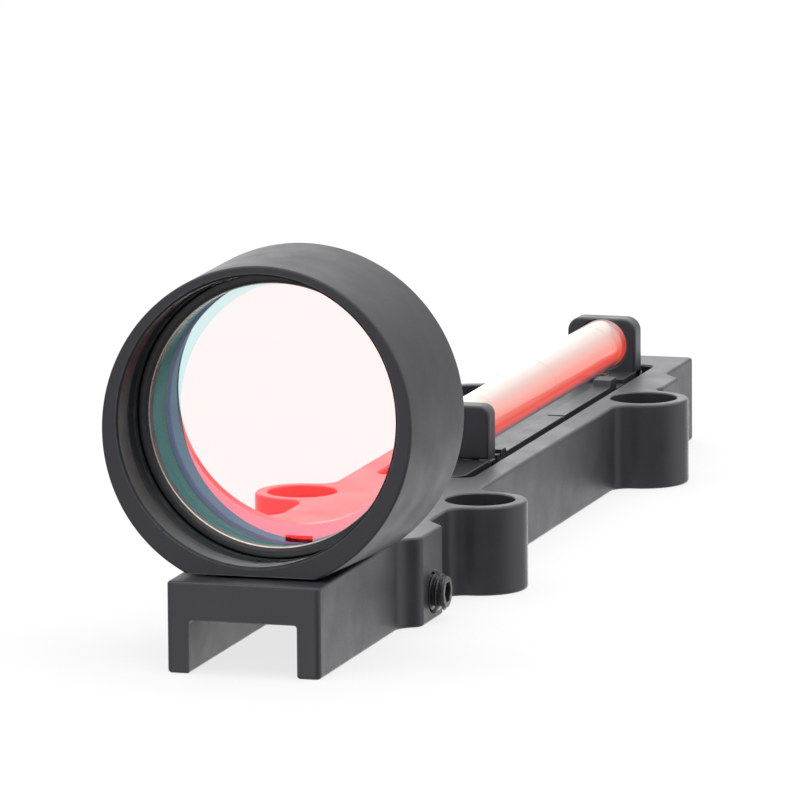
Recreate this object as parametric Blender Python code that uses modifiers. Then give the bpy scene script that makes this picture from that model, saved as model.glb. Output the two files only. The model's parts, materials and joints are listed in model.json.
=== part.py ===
"""Fibre-optic red dot sight for a ventilated rib, as an assembly of separate pieces.

Blender 4.5, metres, +Z up. The front (target) end faces -Y and the shooter is at +Y. The origin is
under the middle of the base, on the plane that the base's two legs stand on. Sizes below are in
millimetres, and distances along the sight (every *_Y value) are measured back from the base's front end.
"""

import math

import bmesh
import bpy
from mathutils import Matrix, Vector

MM = 0.001
NAME = "red_dot_finder"

# Base: an inverted U that straddles the rib
BASE_LENGTH = 150.0
BASE_HEIGHT = 9.8
WALL_X = 8.4
CHANNEL_X = 5.9
CHANNEL_TOP = 5.7
END_ROUND = 0.5
GAP = 0.3

# Ears with through holes, and the bosses of the clamp screws
EAR_X = 10.15
EAR_Y = (54.0, 121.4)
EAR_RADIUS = 5.2
EAR_HOLE_RADIUS = 3.85
EAR_FILLET = 2.0
BOSS_X = 10.5
BOSS_Y = (35.0, 132.4)
BOSS_HALF_FLAT = 3.3
BOSS_ROUND = 1.4
VALLEY = 1.3

# Clamp screws: M4 set screws with a nylon tip
CLAMP_Z = 3.1
CLAMP_RADIUS = 2.0
CLAMP_OUTER_X = 12.05
CLAMP_INNER_X = 6.85
CLAMP_TIP_X = 6.05
THREAD_GAP = 0.15

# Lens housing: a tapered tube with a raked front face, on a flat foot with a key
FRONT_Y = 5.1
REAR_Y = 23.3
FRONT_RADIUS = 17.0
REAR_RADIUS = 17.5
FRONT_CENTRE_Z = 25.35
REAR_CENTRE_Z = 24.95
FACE_RAKE = math.radians(7.4)
KEY_X = 5.0
KEY_Y = (7.0, 22.0)
KEY_DEPTH = 1.2
HOUSING_SCREW_Y = (8.6, 20.6)

# Lens bore: its axis starts in the front face and drops towards the rear
BORE_Z = 26.2
BORE_TILT = math.radians(4.0)
BORE_RADIUS = 15.2
SEAT_DEPTH = 16.0
LENS_RADIUS = 14.8
COATED_RADIUS = 195.0
COATED_VERTEX = 9.0
APERTURE_RADIUS = 13.95

# Rear opening: a level bore behind the lens's seat, with a flared exit
REAR_BORE_Z = 26.4
REAR_BORE_RADIUS = 13.8
FLARE_Y = 21.7
FLARE_SLOPE = 0.5

# Pocket in the base's top for the light-tube cradle
POCKET_X = 5.5
POCKET_Y = (66.3, 143.4)
POCKET_FLOOR = 7.4
POCKET_ROUND = 1.3

# Cradle and light tube
CRADLE_X = 4.12
CRADLE_BOTTOM = 8.15
TRAY_TOP = 8.95
RAIL_TOP = 9.5
TAB_BOTTOM = 7.75
BRACKET_FOOT = 9.65
BRACKET_TOP = 15.7
FRONT_BRACKET_Y = (78.4, 81.1)
REAR_BRACKET_Y = (139.9, 142.6)
TUBE_Z = 12.6
TUBE_RADIUS = 2.9
TUBE_BORE = 2.3
TUBE_Y = (80.3, 140.6)
SOCKET_RADIUS = 3.0
PILLAR_TOP = 10.3
TROUGH_X = 2.1

# Swivel block, hinge and adjusters
PIVOT_Y = 70.0
HINGE_Y = 79.8
HINGE_Z = 8.55
SWIVEL_TOP = 9.6
TAB_X = 2.15
PRONG_X = (2.45, 4.1)
ELEVATION_Y = 137.5
WINDAGE_Y = 140.9
WINDAGE_Z = 8.6
YAW_ROOM = 0.65

AXES = {
    "X": Matrix.Rotation(math.radians(90), 4, "Y"),
    "Y": Matrix.Rotation(math.radians(-90), 4, "X"),
    "Z": Matrix.Identity(4),
}


def clear_scene():
    for old in list(bpy.data.objects):
        bpy.data.objects.remove(old, do_unlink=True)


def new_collection(name):
    made = bpy.data.collections.new(name)
    bpy.context.scene.collection.children.link(made)
    return made


clear_scene()
PARTS = new_collection(NAME)
CUTTERS = new_collection(NAME + "_cutters")
ROOT = bpy.data.objects.new(NAME + "_origin", None)
ROOT.location = (0, -BASE_LENGTH / 2 * MM, 0)
PARTS.objects.link(ROOT)


def material(name, colour, roughness, metallic=0.0, alpha=1.0):
    made = bpy.data.materials.new(name)
    made.use_nodes = True
    shader = made.node_tree.nodes["Principled BSDF"]
    shader.inputs["Base Color"].default_value = (*colour, 1)
    shader.inputs["Roughness"].default_value = roughness
    shader.inputs["Metallic"].default_value = metallic
    shader.inputs["Alpha"].default_value = alpha
    return made


def place(mesh_or_curve, name, paint=None):
    """A new object under the origin. Without a paint it is a cutter, which no render shows."""
    made = bpy.data.objects.new(name, mesh_or_curve)
    made.parent = ROOT
    if paint is None:
        CUTTERS.objects.link(made)
        made.hide_render = True
        made.display_type = "WIRE"
    else:
        PARTS.objects.link(made)
        mesh_or_curve.materials.append(paint)
    return made


def mesh_of(bm, name):
    bmesh.ops.recalc_face_normals(bm, faces=bm.faces)
    mesh = bpy.data.meshes.new(name)
    bm.to_mesh(mesh)
    bm.free()
    mesh.shade_smooth()
    mesh.set_sharp_from_angle(angle=math.radians(35))
    return mesh


def box(name, x, y, z, paint=None, turn=None):
    """A box between pairs of limits. turn, a matrix in millimetres, is applied last."""
    bm = bmesh.new()
    bmesh.ops.create_cube(bm, size=1)
    middle = Vector(sum(side) / 2 for side in (x, y, z))
    sides = [side[1] - side[0] for side in (x, y, z)]
    bmesh.ops.scale(bm, vec=sides, verts=bm.verts)
    bmesh.ops.translate(bm, vec=middle, verts=bm.verts)
    if turn:
        bm.transform(turn)
    bmesh.ops.scale(bm, vec=(MM, MM, MM), verts=bm.verts)
    return place(mesh_of(bm, name), name, paint)


def cylinder(name, radius, start, end, axis="Z", paint=None, segments=24, turn=None, end_radius=None):
    """A cylinder or cone about a line along axis, from start to end."""
    start, end = Vector(start), Vector(end)
    bm = bmesh.new()
    bmesh.ops.create_cone(
        bm, cap_ends=True, segments=segments, radius1=radius,
        radius2=radius if end_radius is None else end_radius, depth=(end - start).length,
    )
    bm.transform(Matrix.Translation((start + end) / 2) @ AXES[axis])
    if turn:
        bm.transform(turn)
    bmesh.ops.scale(bm, vec=(MM, MM, MM), verts=bm.verts)
    return place(mesh_of(bm, name), name, paint)


def turned(name, profile, origin, axis, paint, steps=24, closed=False, tilt=0.0):
    """A Screw about a line along axis. The profile holds (radius, distance along the axis) pairs and runs
    from its far end to its near end down the outer side. A closed profile makes a ring."""
    mesh = bpy.data.meshes.new(name)
    points = [(radius * MM, 0, along * MM) for radius, along in profile]
    edges = [(i, i + 1) for i in range(len(points) - 1)]
    if closed:
        edges.append((len(points) - 1, 0))
    mesh.from_pydata(points, edges, [])
    made = place(mesh, name, paint)
    made.location = [value * MM for value in origin]
    made.rotation_euler = (AXES[axis] @ Matrix.Rotation(tilt, 4, "X")).to_euler()
    screw = made.modifiers.new("Turn", "SCREW")
    screw.steps = steps
    screw.render_steps = steps
    screw.use_merge_vertices = True
    screw.merge_threshold = 0.00001
    screw.use_smooth_shade = True
    return made


OUTLINE_AXES = {
    "X": Matrix(((0, 0, 1, 0), (1, 0, 0, 0), (0, 1, 0, 0), (0, 0, 0, 1))),
    "Y": Matrix(((1, 0, 0, 0), (0, 0, 1, 0), (0, 1, 0, 0), (0, 0, 0, 1))),
    "Z": Matrix.Identity(4),
}


def extruded(name, outline, low, high, paint=None, axis="Z"):
    """A flat outline, drawn as a 2D curve and extruded from low to high along axis. Its points are (y, z)
    for X, (x, z) for Y and (x, y) for Z."""
    curve = bpy.data.curves.new(name, "CURVE")
    curve.dimensions = "2D"
    curve.fill_mode = "BOTH"
    curve.extrude = (high - low) / 2 * MM
    spline = curve.splines.new("POLY")
    spline.points.add(len(outline) - 1)
    for point, (across, along) in zip(spline.points, outline):
        point.co = (across * MM, along * MM, 0, 1)
    spline.use_cyclic_u = True
    guide = bpy.data.objects.new(name, curve)
    PARTS.objects.link(guide)
    bpy.context.view_layer.update()
    drawn = bpy.data.meshes.new_from_object(guide.evaluated_get(bpy.context.evaluated_depsgraph_get()))
    bpy.data.objects.remove(guide)
    bm = bmesh.new()
    bm.from_mesh(drawn)
    bpy.data.meshes.remove(drawn)
    bmesh.ops.remove_doubles(bm, verts=bm.verts, dist=0.000001)
    bmesh.ops.translate(bm, vec=(0, 0, (low + high) / 2 * MM), verts=bm.verts)
    bm.transform(OUTLINE_AXES[axis])
    return place(mesh_of(bm, name), name, paint)


def boolean(body, others, operation):
    for other in others:
        step = body.modifiers.new(operation.title() + " " + other.name, "BOOLEAN")
        step.object = other
        step.operation = operation
        step.solver = "EXACT"


def cut(body, *cutters):
    boolean(body, cutters, "DIFFERENCE")


def join(body, *additions):
    boolean(body, additions, "UNION")


def arc(centre, radius, start, end, steps):
    """Points on an arc between two angles in degrees, both ends included."""
    angles = [math.radians(start + (end - start) * i / steps) for i in range(steps + 1)]
    return [(centre[0] + radius * math.cos(a), centre[1] + radius * math.sin(a)) for a in angles]


def rounded(corners, steps=4):
    """The outline through corners of (x, y, radius), each corner replaced by an arc of that radius."""
    outline = []
    for i, (x, y, radius) in enumerate(corners):
        here = Vector((x, y))
        before = (Vector(corners[i - 1][:2]) - here).normalized()
        after = (Vector(corners[(i + 1) % len(corners)][:2]) - here).normalized()
        half = before.angle(after) / 2
        if radius == 0 or math.pi / 2 - half < 0.01:
            outline.append((x, y))
            continue
        centre = here + (before + after).normalized() * (radius / math.sin(half))
        first = here + before * (radius / math.tan(half)) - centre
        last = here + after * (radius / math.tan(half)) - centre
        turn = first.angle_signed(last)
        start = math.atan2(first.y, first.x)
        for k in range(steps + 1):
            angle = start - turn * k / steps
            outline.append((centre.x + radius * math.cos(angle), centre.y + radius * math.sin(angle)))
    return outline


def stadium(y, half_travel, radius):
    """A slot along X: two half circles about (-half_travel, y) and (half_travel, y)."""
    return arc((half_travel, y), radius, -90, 90, 8) + arc((-half_travel, y), radius, 90, 270, 8)


def between(first, first_reach, second, second_reach):
    """The point at the given distances from two centres, on the outer side of the line through them."""
    line = Vector(second) - Vector(first)
    along = (first_reach**2 - second_reach**2 + line.length_squared) / (2 * line.length)
    outwards = Vector((line.y, -line.x)).normalized() * math.sqrt(first_reach**2 - along**2)
    return Vector(first) + line.normalized() * along + outwards


def bearing(start, end):
    return math.degrees(math.atan2(end[1] - start[1], end[0] - start[0]))


def ear_arcs(y, next_centre, next_radius, next_end):
    """An ear from the fillet in front of it, round its tip, to the fillet about next_centre behind it."""
    ear = (EAR_X, y)
    across = WALL_X + EAR_FILLET - EAR_X
    ahead = (EAR_X + across, y - math.sqrt((EAR_RADIUS + EAR_FILLET) ** 2 - across**2))
    front = arc(ahead, EAR_FILLET, 180, bearing(ahead, ear), 4)
    tip = arc(ear, EAR_RADIUS, bearing(ear, ahead), bearing(ear, next_centre), 20)
    rear = arc(next_centre, next_radius, bearing(next_centre, ear) % 360, next_end, 4)
    return front + tip[1:-1] + rear


def front_side():
    """The front clamp boss and the ear behind it, each with its own fillets to the wall."""
    low, high = BOSS_Y[0] - BOSS_HALF_FLAT, BOSS_Y[0] + BOSS_HALF_FLAT
    boss = [(WALL_X, low - 9, 0), (WALL_X, low - 2.5, 2.5), (BOSS_X, low - 1.3, 1.4),
            (BOSS_X, high, 0.9), (WALL_X, high + 2.3, 1.8), (WALL_X, high + 9, 0)]
    across = WALL_X + EAR_FILLET - EAR_X
    behind = (EAR_X + across, EAR_Y[0] + math.sqrt((EAR_RADIUS + EAR_FILLET) ** 2 - across**2))
    return rounded(boss)[1:-1] + ear_arcs(EAR_Y[0], behind, EAR_FILLET, 180)


def rear_side():
    """The rear ear, which runs through a shallow valley into the clamp boss behind it."""
    low, high = BOSS_Y[1] - BOSS_HALF_FLAT, BOSS_Y[1] + BOSS_HALF_FLAT
    corner = (BOSS_X - BOSS_ROUND, low)
    valley = between((EAR_X, EAR_Y[1]), EAR_RADIUS + VALLEY, corner, BOSS_ROUND + VALLEY)
    ear = ear_arcs(EAR_Y[1], valley, VALLEY, bearing(valley, corner) % 360)
    turn = arc(corner, BOSS_ROUND, bearing(corner, valley), 0, 3)
    boss = [(BOSS_X, low, 0), (BOSS_X, high, 0.9), (WALL_X, high + 2.3, 1.8), (WALL_X, high + 9, 0)]
    return ear + turn[1:-1] + rounded(boss)[:-1]


def side_outline():
    """The right-hand side of the base in plan, from the front end to the rear end."""
    front = [(WALL_X - END_ROUND, 0.0), (WALL_X, END_ROUND)]
    rear = [(WALL_X, BASE_LENGTH - END_ROUND), (WALL_X - END_ROUND, BASE_LENGTH)]
    return front + front_side() + rear_side() + rear


def base_rail(paint):
    right = side_outline()
    left = [(-x, y) for x, y in reversed(right)]
    base = extruded("base_rail", right + left, 0, BASE_HEIGHT, paint)
    cut(base, box("cut_channel", (-CHANNEL_X, CHANNEL_X), (-1, BASE_LENGTH + 1), (-1, CHANNEL_TOP)))
    front, rear = POCKET_Y
    pocket = [(x, y, POCKET_ROUND) for x, y in
              ((-POCKET_X, front), (POCKET_X, front), (POCKET_X, rear), (-POCKET_X, rear))]
    cut(base, extruded("cut_pocket", rounded(pocket), POCKET_FLOOR, BASE_HEIGHT + 1))
    key_y = (KEY_Y[0] - GAP, KEY_Y[1] + GAP)
    key_floor = BASE_HEIGHT - KEY_DEPTH
    cut(base, box("cut_key", (-KEY_X - GAP, KEY_X + GAP), key_y, (key_floor, BASE_HEIGHT + 1)))
    for i, y in enumerate(EAR_Y):
        for x in (-EAR_X, EAR_X):
            hole = f"cut_ear_{i}_{'right' if x > 0 else 'left'}"
            cut(base, cylinder(hole, EAR_HOLE_RADIUS, (x, y, -1), (x, y, BASE_HEIGHT + 1), segments=32))
    for i, y in enumerate(BOSS_Y):
        reach = BOSS_X + 1
        radius = CLAMP_RADIUS + THREAD_GAP
        cut(base, cylinder(f"cut_clamp_{i}", radius, (-reach, y, CLAMP_Z), (reach, y, CLAMP_Z), "X"))
    for i, y in enumerate(HOUSING_SCREW_Y):
        cut(base, cylinder(f"cut_head_{i}", 2.9, (0, y, CHANNEL_TOP - 1), (0, y, CHANNEL_TOP + 1.75)))
        cut(base, cylinder(f"cut_shank_{i}", 1.6, (0, y, CHANNEL_TOP), (0, y, BASE_HEIGHT)))
    cut(base, cylinder("cut_pivot", 1.05, (0, PIVOT_Y, 5), (0, PIVOT_Y, 8)))
    cut(base, extruded("cut_elevation_head", stadium(ELEVATION_Y, YAW_ROOM, 2.05), 5, 6.85))
    cut(base, extruded("cut_elevation_shank", stadium(ELEVATION_Y, YAW_ROOM, 1.2), 6, 8))
    at = (WINDAGE_Y, WINDAGE_Z)
    cut(base, cylinder("cut_windage", 1.12, (-WALL_X - 2, *at), (0, *at), "X", segments=16))
    cut(base, cylinder("cut_spring", 1.12, (0, *at), (7.4, *at), "X", segments=16))
    return base


def bore_frame():
    """From the bore's own frame, in which Y is the distance behind the front face, to the sight's frame."""
    return Matrix.Translation((0, FRONT_Y, BORE_Z)) @ Matrix.Rotation(-BORE_TILT, 4, "X")


def lens_housing(paint):
    length = REAR_Y - FRONT_Y
    taper = (REAR_RADIUS - FRONT_RADIUS) / length
    drop = (REAR_CENTRE_Z - FRONT_CENTRE_Z) / length
    ahead = 5.0
    shear = Matrix.Identity(4)
    shear[2][1] = drop
    shear[2][3] = FRONT_CENTRE_Z - drop * FRONT_Y
    housing = cylinder(
        "lens_housing", FRONT_RADIUS - taper * ahead, (0, FRONT_Y - ahead, 0), (0, REAR_Y, 0), "Y",
        paint, segments=72, turn=shear, end_radius=REAR_RADIUS,
    )
    rake = Matrix.Translation((0, FRONT_Y, FRONT_CENTRE_Z)) @ Matrix.Rotation(-FACE_RAKE, 4, "X")
    wide = (-2 * REAR_RADIUS, 2 * REAR_RADIUS)
    cut(housing, box("cut_face", wide, (-20, 0), wide, turn=rake))
    cut(housing, box("cut_foot", wide, (-10, 40), (-10, BASE_HEIGHT + GAP)))
    key_z = (BASE_HEIGHT - KEY_DEPTH + GAP, BASE_HEIGHT + GAP + 0.3)
    join(housing, box("add_key", (-KEY_X, KEY_X), KEY_Y, key_z))
    bore = bore_frame()
    cut(housing, cylinder("cut_bore", BORE_RADIUS, (0, -6, 0), (0, SEAT_DEPTH, 0), "Y", None, 72, bore))
    start, end = FLARE_Y - 4, REAR_Y + 1
    flare = (REAR_BORE_RADIUS + FLARE_SLOPE * (end - FLARE_Y), end)
    opening = [(0, end), flare, (REAR_BORE_RADIUS, FLARE_Y), (REAR_BORE_RADIUS, start), (0, start)]
    cut(housing, turned("cut_rear_bore", opening, (0, 0, REAR_BORE_Z), "Y", None, 72))
    for i, y, top in zip((0, 1), HOUSING_SCREW_Y, (13, 11.4)):
        cut(housing, cylinder(f"cut_thread_{i}", 1.6, (0, y, 8), (0, y, top)))
    return housing


def surface(radius, vertex, reach, steps=5):
    """Points of a spherical lens surface, from the axis out to reach, bulging towards the front."""
    heights = [reach * i / steps for i in range(steps + 1)]
    return [(h, vertex + radius - math.sqrt(radius**2 - h**2)) for h in heights]


def lens(name, front, rear, paint):
    """A lens element between two spherical surfaces of (radius, vertex depth)."""
    back = surface(*rear, LENS_RADIUS)
    face = surface(*front, LENS_RADIUS)
    origin = (0, FRONT_Y, BORE_Z)
    return turned(name, back + face[::-1], origin, "Y", paint, 48, tilt=-BORE_TILT)


def lens_parts(black, rubber, glass):
    origin = (0, FRONT_Y, BORE_Z)
    near, far, outer = 6.7, 8.4, 15.05
    ring = [(APERTURE_RADIUS, far), (outer, far), (outer, near), (14.4, near), (APERTURE_RADIUS, 7.15)]
    turned("lens_retaining_ring", ring, origin, "Y", black, 72, closed=True, tilt=-BORE_TILT)
    lens("lens_front_element", (110, 7.7), (COATED_RADIUS, COATED_VERTEX - 0.08), glass)
    lens("lens_rear_element", (COATED_RADIUS, COATED_VERTEX), (160, 14.6), glass)
    seal = [(14.45, 15.9), (14.9, 15.9), (14.9, 15.45), (14.45, 15.45)]
    turned("lens_gasket", seal, origin, "Y", rubber, 48, closed=True, tilt=-BORE_TILT)


def hex_key_cut(body, name, across_flats, start, end, axis):
    """A hexagonal socket for a key, from start, outside the screw, to end, inside it."""
    cut(body, cylinder(name, across_flats / math.sqrt(3), start, end, axis, segments=6))


def socket_screw(name, origin, head, shank, paint, key):
    """A screw that stands upwards: head and shank are (radius, low, high) above the origin."""
    profile = [(0, shank[2]), (shank[0] - 0.2, shank[2]), (shank[0], shank[2] - 0.2), (shank[0], head[2]),
               (head[0], head[2]), (head[0], head[1] + 0.2), (head[0] - 0.2, head[1]), (0, head[1])]
    screw = turned(name, profile, (*origin, 0), "Z", paint)
    x, y = origin
    low = head[1]
    hex_key_cut(screw, "cut_key_" + name, key, (x, y, low - 1), (x, y, low + (head[2] - low) * 0.6), "Z")
    return screw


def set_screw(name, origin, axis, inner, outer, radius, paint, key):
    """A headless screw along X between inner and outer, with a hexagonal socket in its outer end and a
    recess for its tip in the inner one. The values have the sign of the side that the screw is on."""
    side = math.copysign(1, outer)
    chamfer = 0.3
    ends = [
        (0, inner), (radius - chamfer, inner), (radius, inner + side * chamfer),
        (radius, outer - side * chamfer), (radius - chamfer, outer), (0, outer),
    ]
    screw = turned(name, ends[::-1] if side > 0 else ends, origin, axis, paint, 20)
    y, z = origin[1:]
    depth = abs(outer - inner) * 0.45
    hex_key_cut(screw, "cut_key_" + name, key, (outer + side, y, z), (outer - side * depth, y, z), axis)
    recess = radius * 0.45
    reach = inner + side * 0.9
    ends = ((inner - side, y, z), (reach, y, z))
    cut(screw, cylinder("cut_recess_" + name, recess, *ends, axis, segments=12))
    return screw


def screw_tip(name, origin, face, shoulder, screw_inner, radius, stem, paint):
    """The tip in a set screw's inner end: a pad from face to shoulder, and a stem inside the screw."""
    side = math.copysign(1, face)
    end = screw_inner + side * 0.7
    steps = [(0, face), (radius, face), (radius, shoulder), (stem, shoulder), (stem, end), (0, end)]
    return turned(name, steps[::-1] if side > 0 else steps, origin, "X", paint, 16)


def clamp_screws(steel, nylon):
    for place_name, y in zip(("front", "rear"), BOSS_Y):
        for side, hand in ((1, "right"), (-1, "left")):
            name = f"{place_name}_{hand}"
            origin = (0, y, CLAMP_Z)
            outer, inner, face = side * CLAMP_OUTER_X, side * CLAMP_INNER_X, side * CLAMP_TIP_X
            set_screw("clamp_screw_" + name, origin, "X", inner, outer, CLAMP_RADIUS, steel, 2.0)
            shoulder = inner - side * 0.1
            screw_tip("clamp_tip_" + name, origin, face, shoulder, inner, 1.6, 0.75, nylon)


def windage_adjuster(steel, brass):
    origin = (0, WINDAGE_Y, WINDAGE_Z)
    set_screw("windage_screw", origin, "X", -5.2, -8.2, 0.98, steel, 0.9)
    screw_tip("windage_tip", origin, -CRADLE_X - 0.1, -5.1, -5.2, 0.6, 0.32, brass)
    turns, coil_radius, wire = 4, 0.78, 0.14
    start, end = CRADLE_X + 0.1 + wire, 7.3 - wire
    per_turn = 10
    count = turns * per_turn
    points = []
    for i in range(count + 1):
        angle = 2 * math.pi * i / per_turn
        x = start + (end - start) * i / count
        y = WINDAGE_Y + coil_radius * math.cos(angle)
        z = WINDAGE_Z + coil_radius * math.sin(angle)
        points.append((x, y, z))
    wire_curve("windage_spring", points, wire, steel)


def wire_curve(name, points, radius, paint, closed=False):
    curve = bpy.data.curves.new(name, "CURVE")
    curve.dimensions = "3D"
    curve.bevel_depth = radius * MM
    curve.bevel_resolution = 1
    curve.use_fill_caps = not closed
    spline = curve.splines.new("POLY")
    spline.points.add(len(points) - 1)
    for point, where in zip(spline.points, points):
        point.co = (*(value * MM for value in where), 1)
    spline.use_cyclic_u = closed
    spline.use_smooth = True
    return place(curve, name, paint)


def elevation_adjuster(steel, brass):
    at = (0, ELEVATION_Y)
    socket_screw("elevation_screw", at, (1.9, 5.75, 6.7), (0.95, 5.75, 9.1), steel, 1.3)
    insert = [(1.12, 9.4), (1.68, 9.4), (1.68, 8.2), (1.12, 8.2)]
    turned("elevation_insert", insert, (*at, 0), "Z", brass, closed=True)
    radius, middle, wave, wire = 1.55, 7.78, 0.17, 0.13
    steps = 30
    ring = []
    for i in range(steps):
        angle = 2 * math.pi * i / steps
        y = ELEVATION_Y + radius * math.sin(angle)
        ring.append((radius * math.cos(angle), y, middle + wave * math.sin(3 * angle)))
    wire_curve("elevation_spring", ring, wire, steel, closed=True)


def swivel_parts(paint, steel):
    inner, outer = PRONG_X
    front, fork, rear = 67.6, 78.1, 81.4
    corners = [
        (-outer, front, 2), (outer, front, 2), (outer, rear, 0.6), (inner, rear, 0.6), (inner, fork, 0),
        (-inner, fork, 0), (-inner, rear, 0.6), (-outer, rear, 0.6),
    ]
    block = extruded("swivel_block", rounded(corners, 3), 7.6, SWIVEL_TOP, paint)
    cut(block, box("cut_prongs", (-6, 6), (fork, 83), (9.35, 11)))
    cut(block, cylinder("cut_block_pivot", 1.4, (0, PIVOT_Y, 7), (0, PIVOT_Y, 11)))
    at = (HINGE_Y, HINGE_Z)
    cut(block, cylinder("cut_block_hinge", 0.68, (-6, *at), (6, *at), "X", segments=16))
    pin = [(0, 3.9), (0.5, 3.9), (0.6, 3.8), (0.6, -3.8), (0.5, -3.9), (0, -3.9)]
    turned("hinge_pin", pin, (0, *at), "X", steel, 16)
    shoulder = [
        (0, 10.6), (2.1, 10.6), (2.3, 10.4), (2.3, 9.7), (1.3, 9.7), (1.3, 7.5), (0.95, 7.5), (0.95, 5.8),
        (0, 5.8),
    ]
    screw = turned("pivot_screw", shoulder, (0, PIVOT_Y, 0), "Z", steel)
    hex_key_cut(screw, "cut_key_pivot", 2.0, (0, PIVOT_Y, 12), (0, PIVOT_Y, 9.9), "Z")


def cradle_side():
    """The cradle seen from the side, as (distance back, height) points."""
    front, rear = FRONT_BRACKET_Y, REAR_BRACKET_Y
    return [
        (front[0], TAB_BOTTOM), (82.8, TAB_BOTTOM), (82.8, CRADLE_BOTTOM), (rear[1], CRADLE_BOTTOM),
        (rear[1], BRACKET_TOP), (rear[0], BRACKET_TOP), (rear[0], RAIL_TOP), (134.5, RAIL_TOP),
        (134.5, TRAY_TOP), (131.5, TRAY_TOP), (131.5, PILLAR_TOP), (128.9, PILLAR_TOP), (128.6, RAIL_TOP),
        (84.5, RAIL_TOP), (84.5, TRAY_TOP),
        (82.8, TRAY_TOP), (82.8, BRACKET_FOOT), (front[1], BRACKET_FOOT), (front[1], BRACKET_TOP),
        (front[0], BRACKET_TOP),
    ]


def cradle(paint):
    body = extruded("cradle", cradle_side(), -6, 6, paint, axis="X")
    bend = 1.3
    top = BRACKET_TOP
    corners = [(-CRADLE_X, 7, 0), (CRADLE_X, 7, 0), (CRADLE_X, top, bend), (-CRADLE_X, top, bend)]
    face = extruded("keep_face", rounded(corners), 75, 146, axis="Y")
    boolean(body, [face], "INTERSECT")
    cut(body, box("cut_trough", (-TROUGH_X, TROUGH_X), (84, 132), (TRAY_TOP - 0.05, 11)))
    low, high = FRONT_BRACKET_Y[0], REAR_BRACKET_Y[0]
    for side, hand in ((1, "right"), (-1, "left")):
        beside = sorted((side * TAB_X, side * 6))
        cut(body, box("cut_beside_tab_" + hand, beside, (low - 1, 81.8), (7, BRACKET_FOOT)))
    bores = (
        ("front_socket", SOCKET_RADIUS, low + 1.5, low + 5), ("reticle_seat", 2.0, low + 0.9, low + 2),
        ("rear_socket", SOCKET_RADIUS, high - 2, high + 1.1), ("reflector_seat", 2.0, high, high + 1.7),
        ("pinhole", 0.4, low - 1, low + 2),
    )
    for name, radius, start, end in bores:
        segments = 32 if radius > 1 else 12
        ends = ((0, start, TUBE_Z), (0, end, TUBE_Z))
        cut(body, cylinder("cut_" + name, radius, *ends, "Y", segments=segments))
    at = (HINGE_Y, HINGE_Z)
    cut(body, cylinder("cut_tab_hinge", 0.68, (-6, *at), (6, *at), "X", segments=16))
    cut(body, cylinder("cut_insert", 1.78, (0, ELEVATION_Y, 7), (0, ELEVATION_Y, 9.8)))
    return body


def tube_profile():
    """The light tube's wall, with a shallow turned groove near each end and one in the middle."""
    near, far = TUBE_Y
    outer = [(TUBE_RADIUS, far)]
    for groove in (far - 6, (near + far) / 2, near + 6):
        outer += [(TUBE_RADIUS, groove + 0.15), (TUBE_RADIUS - 0.1, groove), (TUBE_RADIUS, groove - 0.15)]
    outer.append((TUBE_RADIUS, near))
    return [(TUBE_BORE, far)] + outer + [(TUBE_BORE, near)]


def light_parts(clear, fluorescent, rubber, mirror, reticle):
    axis_at = (0, 0, TUBE_Z)
    turned("light_tube", tube_profile(), axis_at, "Y", clear, 28, closed=True)
    near, far = TUBE_Y
    core = [(0, far - 0.05), (2.15, far - 0.05), (2.15, near + 0.05), (0, near + 0.05)]
    turned("fibre_core", core, axis_at, "Y", fluorescent, 24)
    for name, start in (("tube_gasket_front", near - 0.35), ("tube_gasket_rear", far + 0.1)):
        end = start + 0.25
        ring = [(TUBE_BORE, end), (2.85, end), (2.85, start), (TUBE_BORE, start)]
        turned(name, ring, axis_at, "Y", rubber, 24, closed=True)
    for name, start, paint in (("reticle_disc", 79.4, reticle), ("reflector_disc", 141.1, mirror)):
        disc = [(0, start + 0.4), (1.85, start + 0.4), (1.85, start), (0, start)]
        turned(name, disc, axis_at, "Y", paint, 24)


def build():
    anodised = material("black_anodised", (0.06, 0.06, 0.065), 0.5, 0.6)
    ring_black = material("ring_anodised", (0.035, 0.035, 0.04), 0.45, 0.6)
    steel = material("black_oxide_steel", (0.045, 0.045, 0.045), 0.35, 0.8)
    pin_steel = material("pin_steel", (0.5, 0.5, 0.5), 0.25, 1.0)
    brass = material("brass", (0.6, 0.42, 0.16), 0.3, 1.0)
    nylon = material("nylon", (0.75, 0.74, 0.7), 0.5)
    rubber = material("rubber", (0.02, 0.02, 0.02), 0.8)
    glass = material("coated_glass", (1.0, 0.75, 0.75), 0.05, 0, 0.35)
    clear = material("clear_acrylic", (1.0, 0.8, 0.78), 0.05, 0, 0.4)
    fluorescent = material("fluorescent_red", (0.9, 0.06, 0.03), 0.3)
    mirror = material("mirror_film", (0.9, 0.9, 0.9), 0.05, 1.0)
    reticle = material("reticle_film", (0.01, 0.01, 0.01), 0.4)

    base_rail(anodised)
    lens_housing(anodised)
    for end, y, tip in zip(("front", "rear"), HOUSING_SCREW_Y, (10.5, 9.85)):
        socket_screw("housing_screw_" + end, (0, y), (2.6, 5.75, 7.35), (1.45, 5.75, tip), steel, 2.0)
    lens_parts(ring_black, rubber, glass)
    swivel_parts(anodised, pin_steel)
    cradle(anodised)
    light_parts(clear, fluorescent, rubber, mirror, reticle)
    clamp_screws(steel, nylon)
    windage_adjuster(steel, brass)
    elevation_adjuster(steel, brass)


build()
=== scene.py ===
"""Looks of the fibre-optic red dot sight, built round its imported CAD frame. Blender 4.5, metres, +Z up.

Sizes are in millimetres. Distances along the sight are measured back from the base's front end, and the
frame says where that end is.
"""

import json
import math

import bmesh
import bpy
from mathutils import Matrix, Vector


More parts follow.
